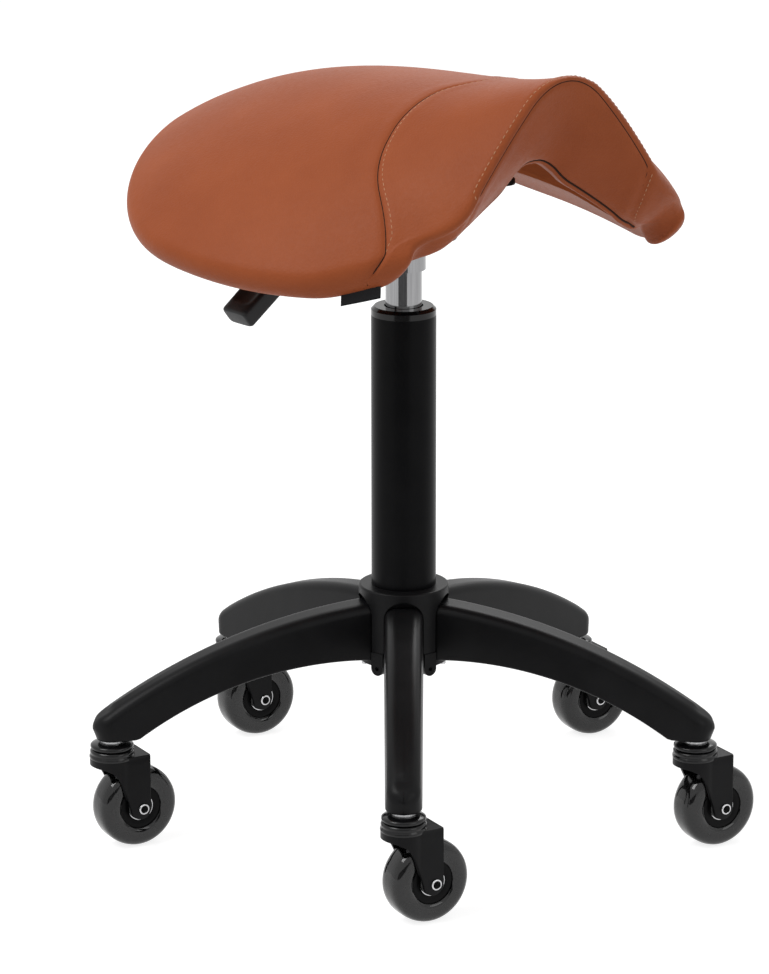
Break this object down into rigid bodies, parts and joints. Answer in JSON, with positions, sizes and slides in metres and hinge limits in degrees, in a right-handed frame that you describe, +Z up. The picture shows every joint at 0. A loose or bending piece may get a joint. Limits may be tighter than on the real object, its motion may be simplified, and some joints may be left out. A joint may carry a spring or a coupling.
{
  "type": "saddle stool",
  "caption": "Padded saddle stool on a gas column with a release lever, standing on a splayed-arm base with swivel casters.",
  "frame": {"origin": "on the floor, under the column's axis", "axes": "+Z up along the column, -Y along one arm; the saddle faces +X and -Y, turned 49 degrees about the column"},
  "size_m": [0.5093, 0.4748, 0.6118],
  "materials": {
    "black_metal": "satin powder coat",
    "black_plastic": "fine satin",
    "chrome": "polished",
    "steel": "plain",
    "pale_plastic": "plain",
    "alloy": "turned",
    "soft_rubber": "matte",
    "smoke_tyre": "glossy and slightly see-through",
    "dark_core": "glossy",
    "shell": "moulded",
    "foam": "open foam",
    "tan_leather": "satin, fine grain"
  },
  "bodies": {
    "base": {"hub": "black_metal", "arm_screws": "steel", "column_tube": "black_metal", "column_cap": "black_plastic", "guide_bush": "pale_plastic", "thrust_bearing": "steel", "caster_stems": "chrome", "caster_races": "black_metal", "arm_1": "black_metal", "arm_2": "black_metal", "arm_3": "black_metal", "arm_4": "black_metal", "arm_5": "black_metal"},
    "lift_rod": {"piston_rod": "steel", "piston": "alloy", "rod_clip": "steel", "rod_buffer": "soft_rubber", "upper_race": "steel"},
    "seat": {"pressure_tube": "chrome", "rod_guide": "pale_plastic", "valve_body": "alloy", "taper_socket": "chrome", "mechanism_housing": "black_plastic", "mechanism_plate": "black_metal", "seat_bolts": "steel", "lever_pin": "steel", "seat_shell": "shell", "seat_foam": "foam", "cover_lining": "tan_leather", "cover_front": "tan_leather", "cover_rear": "tan_leather", "cover_middle": "tan_leather"},
    "lever": {"lever_rod": "black_metal", "lever_grip": "black_plastic"},
    "valve_pin": {"valve_pin": "steel"},
    "fork_1": {"caster_1_fork": "black_metal", "caster_1_axle": "steel"},
    "wheel_1": {"caster_1_bearings": "steel", "caster_1_core": "dark_core", "caster_1_tyre": "smoke_tyre"},
    "fork_2": {"caster_2_fork": "black_metal", "caster_2_axle": "steel"},
    "wheel_2": {"caster_2_bearings": "steel", "caster_2_core": "dark_core", "caster_2_tyre": "smoke_tyre"},
    "fork_3": {"caster_3_fork": "black_metal", "caster_3_axle": "steel"},
    "wheel_3": {"caster_3_bearings": "steel", "caster_3_core": "dark_core", "caster_3_tyre": "smoke_tyre"},
    "fork_4": {"caster_4_fork": "black_metal", "caster_4_axle": "steel"},
    "wheel_4": {"caster_4_bearings": "steel", "caster_4_core": "dark_core", "caster_4_tyre": "smoke_tyre"},
    "fork_5": {"caster_5_fork": "black_metal", "caster_5_axle": "steel"},
    "wheel_5": {"caster_5_bearings": "steel", "caster_5_core": "dark_core", "caster_5_tyre": "smoke_tyre"}
  },
  "joints": [
    {"name": "seat_swivel", "type": "hinge", "parent": "base", "child": "lift_rod", "pos_m": [0, 0, 0.141], "axis": [0, 0, 1], "continuous": true},
    {"name": "seat_lift", "type": "slide", "parent": "lift_rod", "child": "seat", "axis": [0, 0, 1], "range_m": [0, 0.21]},
    {"name": "lever_pull", "type": "hinge", "parent": "seat", "child": "lever", "pos_m": [-0.01371, -0.01167, 0.5053], "axis": [-0.6481, 0.7615, 0], "range_deg": [0, 4.5], "stiffness_Nm_per_rad": 3},
    {"name": "valve_press", "type": "slide", "parent": "seat", "child": "valve_pin", "axis": [0, 0, -1], "range_m": [0, 0.0016]},
    {"name": "caster_1_swivel", "type": "hinge", "parent": "base", "child": "fork_1", "pos_m": [0, -0.235, 0.078], "axis": [0, 0, 1], "continuous": true},
    {"name": "caster_1_roll", "type": "hinge", "parent": "fork_1", "child": "wheel_1", "pos_m": [0.01559, -0.226, 0.032], "axis": [0.5, -0.866, 0], "continuous": true},
    {"name": "caster_2_swivel", "type": "hinge", "parent": "base", "child": "fork_2", "pos_m": [0.2235, -0.07262, 0.078], "axis": [0, 0, 1], "continuous": true},
    {"name": "caster_2_roll", "type": "hinge", "parent": "fork_2", "child": "wheel_2", "pos_m": [0.23909, -0.06362, 0.032], "axis": [0.5, -0.866, 0], "continuous": true},
    {"name": "caster_3_swivel", "type": "hinge", "parent": "base", "child": "fork_3", "pos_m": [0.13813, 0.19012, 0.078], "axis": [0, 0, 1], "continuous": true},
    {"name": "caster_3_roll", "type": "hinge", "parent": "fork_3", "child": "wheel_3", "pos_m": [0.15372, 0.19912, 0.032], "axis": [0.5, -0.866, 0], "continuous": true},
    {"name": "caster_4_swivel", "type": "hinge", "parent": "base", "child": "fork_4", "pos_m": [-0.13813, 0.19012, 0.078], "axis": [0, 0, 1], "continuous": true},
    {"name": "caster_4_roll", "type": "hinge", "parent": "fork_4", "child": "wheel_4", "pos_m": [-0.12254, 0.19912, 0.032], "axis": [0.5, -0.866, 0], "continuous": true},
    {"name": "caster_5_swivel", "type": "hinge", "parent": "base", "child": "fork_5", "pos_m": [-0.2235, -0.07262, 0.078], "axis": [0, 0, 1], "continuous": true},
    {"name": "caster_5_roll", "type": "hinge", "parent": "fork_5", "child": "wheel_5", "pos_m": [-0.20791, -0.06362, 0.032], "axis": [0.5, -0.866, 0], "continuous": true}
  ],
  "couplings": [
    {"joint": "valve_press", "follows": "lever_pull", "m_per_rad": 0.02}
  ]
}
